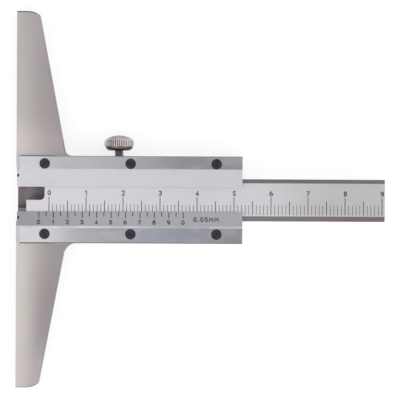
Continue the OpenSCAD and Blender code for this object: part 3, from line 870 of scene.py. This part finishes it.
def stud_black():
    """Oiled black oxide of the stud, with painted shade in the thread and rubbed bright on its
    crests.
    """
    f = Finish("stud_black", (0.5, 0.485, 0.43), 0.4)
    radius = clamp_polar(f)[0]
    grain = f.noise((0.5 * MM, 0.3 * MM, 0.5 * MM), detail=4.0)
    f.blend(f.ramp(grain, 0.45, 0.7, 0.0, 0.5), (0.33, 0.33, 0.28))
    f.shade(f.fall(radius, 1.05 * MM, 1.2 * MM), 0.6)
    rounded, worn = f.edges(0.04 * MM)
    f.shade(worn, 1.2)
    f.rough(f.ramp(grain, 0.4, 0.7), 0.12)
    return f.done(f.bump(grain, 0.004 * MM, rounded))


# Knob: its nickel, the stains on it and the painted shade underneath
NICKEL = (0.66, 0.615, 0.6)
STAIN = (0.56, 0.49, 0.49)
UNDERSIDE_SHADE = (0.17, 0.135, 0.135)
# Heights over its underside: end of the painted shade, the knurl's band and the dome's start
UNDERSIDE_SHADE_END = (0.95 * MM, 1.3 * MM)
KNURL_BAND = (0.9 * MM, 1.3 * MM, 2.9 * MM, 3.5 * MM)
DOME_START = (2.9 * MM, 3.4 * MM)
# Painted shade on the dome
DOME_SHADE = 0.54
# Stretches of the knurl by their angle: facing up, on the left and on the right, for painted shade
FACING_UP_TURN = (1.38, 1.5, 1.86, 1.96)
SHADED_LEFT_TURN = (1.84, 1.94, 2.3, 2.6)
SHADED_RIGHT_TURN = (-0.4, 0.1, 0.4, 0.9)
# Painted shade in the valleys and painted highlight on the crests, stronger facing up; painted shade
# on either side
KNURL_SHADES = {
    "valley": 0.55, "valley_facing_up": 0.72, "crest": 1.35, "crest_facing_up": 1.22,
    "shaded_left": 0.88, "shaded_right": 0.87, "shaded_shoulder": 0.75,
}


def shade_knurl(f, height):
    """Painted shade in the knurl's valleys and painted highlight on its crests, which differ round
    the knob.
    """
    radius, turn = clamp_polar(f)
    knurl = f.band(height, *KNURL_BAND)
    wave = f.math("SUBTRACT", turn, KNURL_TURN)
    wave = f.math("COSINE", f.math("MULTIPLY", wave, KNURL_TEETH))
    valley = f.both(knurl, f.ramp(wave, -0.2, 0.8))
    crest = f.both(knurl, f.fall(wave, -0.9, -0.2))
    facing_up = f.band(turn, *FACING_UP_TURN)
    shaded_left = f.both(f.band(turn, *SHADED_LEFT_TURN), f.ramp(radius, 2.7 * MM, 3.2 * MM))
    f.shade(valley, KNURL_SHADES["valley"])
    f.shade(f.both(valley, facing_up), KNURL_SHADES["valley_facing_up"])
    f.shade(crest, KNURL_SHADES["crest"])
    f.shade(f.both(crest, facing_up), KNURL_SHADES["crest_facing_up"])
    f.shade(f.both(knurl, shaded_left), KNURL_SHADES["shaded_left"])
    f.shade(f.both(knurl, f.band(turn, *SHADED_RIGHT_TURN)), KNURL_SHADES["shaded_right"])
    f.shade(f.both(shaded_left, f.ramp(height, 3.0 * MM, 3.3 * MM)), KNURL_SHADES["shaded_shoulder"])


def knob_nickel():
    """Nickel plate of the knob, stained in patches, with painted shade on its dome and underneath."""
    f = Finish("knob_nickel", NICKEL, 0.32)
    lathe = f.noise((2 * MM, 0.06 * MM, 2 * MM), detail=3.0)
    patch = f.noise((1.1 * MM, 1.6 * MM, 1.1 * MM), detail=3.0, distortion=0.5)
    height = f.math("SUBTRACT", f.y, knob_low.y)
    f.blend(f.ramp(patch, 0.45, 0.7, 0.0, 0.7), STAIN)
    f.rough(f.ramp(patch, 0.4, 0.7), 0.12)
    f.shade(f.ramp(height, *DOME_START), DOME_SHADE)
    shade_knurl(f, height)
    rounded, worn = f.edges(0.05 * MM)
    f.shade(worn, 1.1)
    f.blend(f.fall(height, *UNDERSIDE_SHADE_END), UNDERSIDE_SHADE)
    return f.done(f.bump(lathe, 0.003 * MM, rounded))


def scale_ink():
    """Black enamel in the engraving, thin in places."""
    f = Finish("scale_ink", (0.022, 0.022, 0.026), 0.5, metallic=0.0)
    thin = f.noise((0.7 * MM, 0.7 * MM, 0.7 * MM), detail=3.0)
    f.blend(f.ramp(thin, 0.5, 0.75, 0.0, 0.5), (0.09, 0.09, 0.1))
    f.rough(f.ramp(thin, 0.4, 0.7), 0.15)
    return f.done(f.bump(thin, 0.004 * MM, f.facing))


NODE_FINISHES = {
    "frame_body": base_steel,
    "upper_plate": plate_steel,
    "vernier_plate": vernier_chrome,
    "beam": beam_chrome,
    "leaf_spring": spring_bronze,
    "clamp_pad": pad_brass,
    "upper_plate_screw": screw_black,
    "vernier_plate_screw": screw_black,
}


def dress_nodes():
    """Gives each CAD node its material. Numbered nodes share one."""
    made = {}
    for name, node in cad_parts.items():
        finish = NODE_FINISHES.get(name.rstrip("_0123456789"))
        if finish is None:
            continue
        if finish not in made:
            made[finish] = finish()
        node.material_slots[0].material = made[finish]


# Stage

FLOOR_SIZE = 3.0
FLOOR_GREY = 0.4
FLOOR_LIFT = 0.74
# Tent: its level by the Y of a direction, from 0 to 1 for -Y to +Y, and what is added by its X
TENT_LEVELS = {0.25: 0.92, 0.72: 0.5, 0.88: 0.5, 0.98: 0.75}
TENT_SIDE = {0.6: 0.0, 0.93: 0.45}
# Panel over the object that its ground faces mirror, for glossy rays alone: its levels at places
# along X
PANEL_HEIGHT = 170 * MM
PANEL_X = (-60 * MM, 200 * MM)
PANEL_Y = 60 * MM
PANEL_FADE = 25 * MM
PANEL_LEVELS = {
    -46 * MM: 1.3, -11 * MM: 1.15, 2 * MM: 0.68, 20 * MM: 0.57,
    46 * MM: 0.24, 60 * MM: 0.36, 85 * MM: 0.45,
}
PANEL_TINT = (0.98, 0.975, 1.03)
KEY = {"place": (-0.35, -0.45, 0.6), "size": 0.4, "power": 0.5}
WHITE = (1.0, 1.0, 1.0, 1.0)


def stage_sheet(name, xs, ys, z, material):
    """A level rectangle of the stage, which isn't part of the object."""
    mesh = bpy.data.meshes.new(name)
    corners = [(xs[0], ys[0], z), (xs[1], ys[0], z), (xs[1], ys[1], z), (xs[0], ys[1], z)]
    mesh.from_pydata(corners, [], [(0, 1, 2, 3)])
    mesh.materials.append(material)
    sheet = bpy.data.objects.new(name, mesh)
    bpy.context.scene.collection.objects.link(sheet)
    return sheet


def seen_rays(f):
    """1 for rays from the camera, from glossy metal and through glass."""
    path = f.add("ShaderNodeLightPath").outputs
    seen = f.math("MAXIMUM", path["Is Camera Ray"], path["Is Glossy Ray"])
    return f.math("MAXIMUM", seen, path["Is Transmission Ray"])


def floor_material():
    """Matt pale floor. What is seen of it is lifted to white, and keeps the shadow."""
    f = Finish("floor", (FLOOR_GREY, FLOOR_GREY, FLOOR_GREY), 1.0, metallic=0.0)
    f.shader.inputs["Specular IOR Level"].default_value = 0.0
    f.shader.inputs["Emission Color"].default_value = WHITE
    f.feed(f.shader.inputs["Emission Strength"], f.math("MULTIPLY", seen_rays(f), FLOOR_LIFT))
    return f.done(f.facing)


def graded(tree, value, levels):
    """Colour ramp from place to level, for a value from 0 to 1."""
    ramp = tree.nodes.new("ShaderNodeValToRGB")
    tree.links.new(value, ramp.inputs["Fac"])
    stops = ramp.color_ramp.elements
    while len(stops) < len(levels):
        stops.new(1.0)
    for stop, (place, level) in zip(stops, levels.items()):
        stop.position = place
        stop.color = (level, level, level, 1.0)
    return ramp.outputs["Color"]


def panel_material():
    """Glow that changes along X and fades out towards the panel's long sides."""
    f = Finish("panel", PANEL_TINT, 1.0)
    left, right = PANEL_X
    share = f.math("DIVIDE", f.math("SUBTRACT", f.x, left), right - left)
    levels = {(x - left) / (right - left): level for x, level in PANEL_LEVELS.items()}
    glow = f.add("ShaderNodeEmission")
    f.feed(glow.inputs["Color"], f.colour)
    f.feed(glow.inputs["Strength"], graded(f.tree, share, levels))
    mix = f.add("ShaderNodeMixShader")
    f.feed(mix.inputs["Fac"], f.fall(f.math("ABSOLUTE", f.y), PANEL_Y - PANEL_FADE, PANEL_Y))
    f.feed(mix.inputs[1], f.add("ShaderNodeBsdfTransparent").outputs[0])
    f.feed(mix.inputs[2], glow.outputs[0])
    f.feed(f.tree.nodes["Material Output"].inputs["Surface"], mix.outputs[0])
    return f.material


def tent_level(tree):
    """The tent's level in a direction: what its Y gives, and what its X adds."""
    place = tree.nodes.new("ShaderNodeTexCoord")
    split = tree.nodes.new("ShaderNodeSeparateXYZ")
    tree.links.new(place.outputs["Generated"], split.inputs[0])
    level = tree.nodes.new("ShaderNodeMath")
    for i, (axis, levels) in enumerate((("Y", TENT_LEVELS), ("X", TENT_SIDE))):
        share = tree.nodes.new("ShaderNodeMapRange")
        share.inputs["From Min"].default_value = -1.0
        tree.links.new(split.outputs[axis], share.inputs["Value"])
        tree.links.new(graded(tree, share.outputs["Result"], levels), level.inputs[i])
    return level.outputs[0]


def tent():
    """World: soft light all round, weaker towards +Y, stronger towards +X, and white where seen."""
    world = bpy.data.worlds.new("tent")
    bpy.context.scene.world = world
    world.use_nodes = True
    tree = world.node_tree
    path = tree.nodes.new("ShaderNodeLightPath")
    mix = tree.nodes.new("ShaderNodeMix")
    tree.links.new(path.outputs["Is Camera Ray"], mix.inputs["Factor"])
    tree.links.new(tent_level(tree), mix.inputs["A"])
    mix.inputs["B"].default_value = 1.0
    tree.links.new(mix.outputs["Result"], tree.nodes["Background"].inputs["Strength"])
    tree.nodes["Background"].inputs["Color"].default_value = WHITE


def key_light():
    """A large weak lamp, aimed at the object."""
    light = bpy.data.lights.new("key", "AREA")
    light.size = KEY["size"]
    light.energy = KEY["power"]
    lamp = bpy.data.objects.new("key", light)
    lamp.location = KEY["place"]
    lamp.rotation_euler = (-lamp.location).to_track_quat("-Z", "Y").to_euler()
    bpy.context.scene.collection.objects.link(lamp)


def studio():
    """Floor, the panel that only glossy rays see, and the lights."""
    half = FLOOR_SIZE / 2
    stage_sheet("floor", (-half, half), (-half, half), 0.0, floor_material())
    panel = stage_sheet("panel", PANEL_X, (-PANEL_Y, PANEL_Y), PANEL_HEIGHT, panel_material())
    panel.visible_camera = False
    panel.visible_diffuse = False
    panel.visible_shadow = False
    panel.visible_transmission = False
    tent()
    key_light()


def camera():
    """Camera that looks straight down from so high that the view is VIEW_WIDTH wide at the beam."""
    data = bpy.data.cameras.new("camera")
    data.lens = LENS
    data.sensor_width = SENSOR
    data.clip_start, data.clip_end = CAMERA_CLIP
    eye = bpy.data.objects.new("camera", data)
    eye.location = (*VIEW_CENTRE, beam_high.z + VIEW_WIDTH * LENS / SENSOR)
    eye.rotation_euler = (0.0, 0.0, VIEW_ROLL)
    bpy.context.scene.collection.objects.link(eye)
    bpy.context.scene.camera = eye


camera()
studio()
dress_nodes()
ink = scale_ink()
main_scale_ink(ink)
vernier_scale_ink(ink)
# The ink's black also fills the nicks as painted shadow
nick_grime(ink)
main_scale_numerals(ink)
vernier_numerals(ink)
threaded_stud(stud_black())
knurled_knob(knob_nickel())
bpy.context.scene.view_settings.view_transform = "Standard"
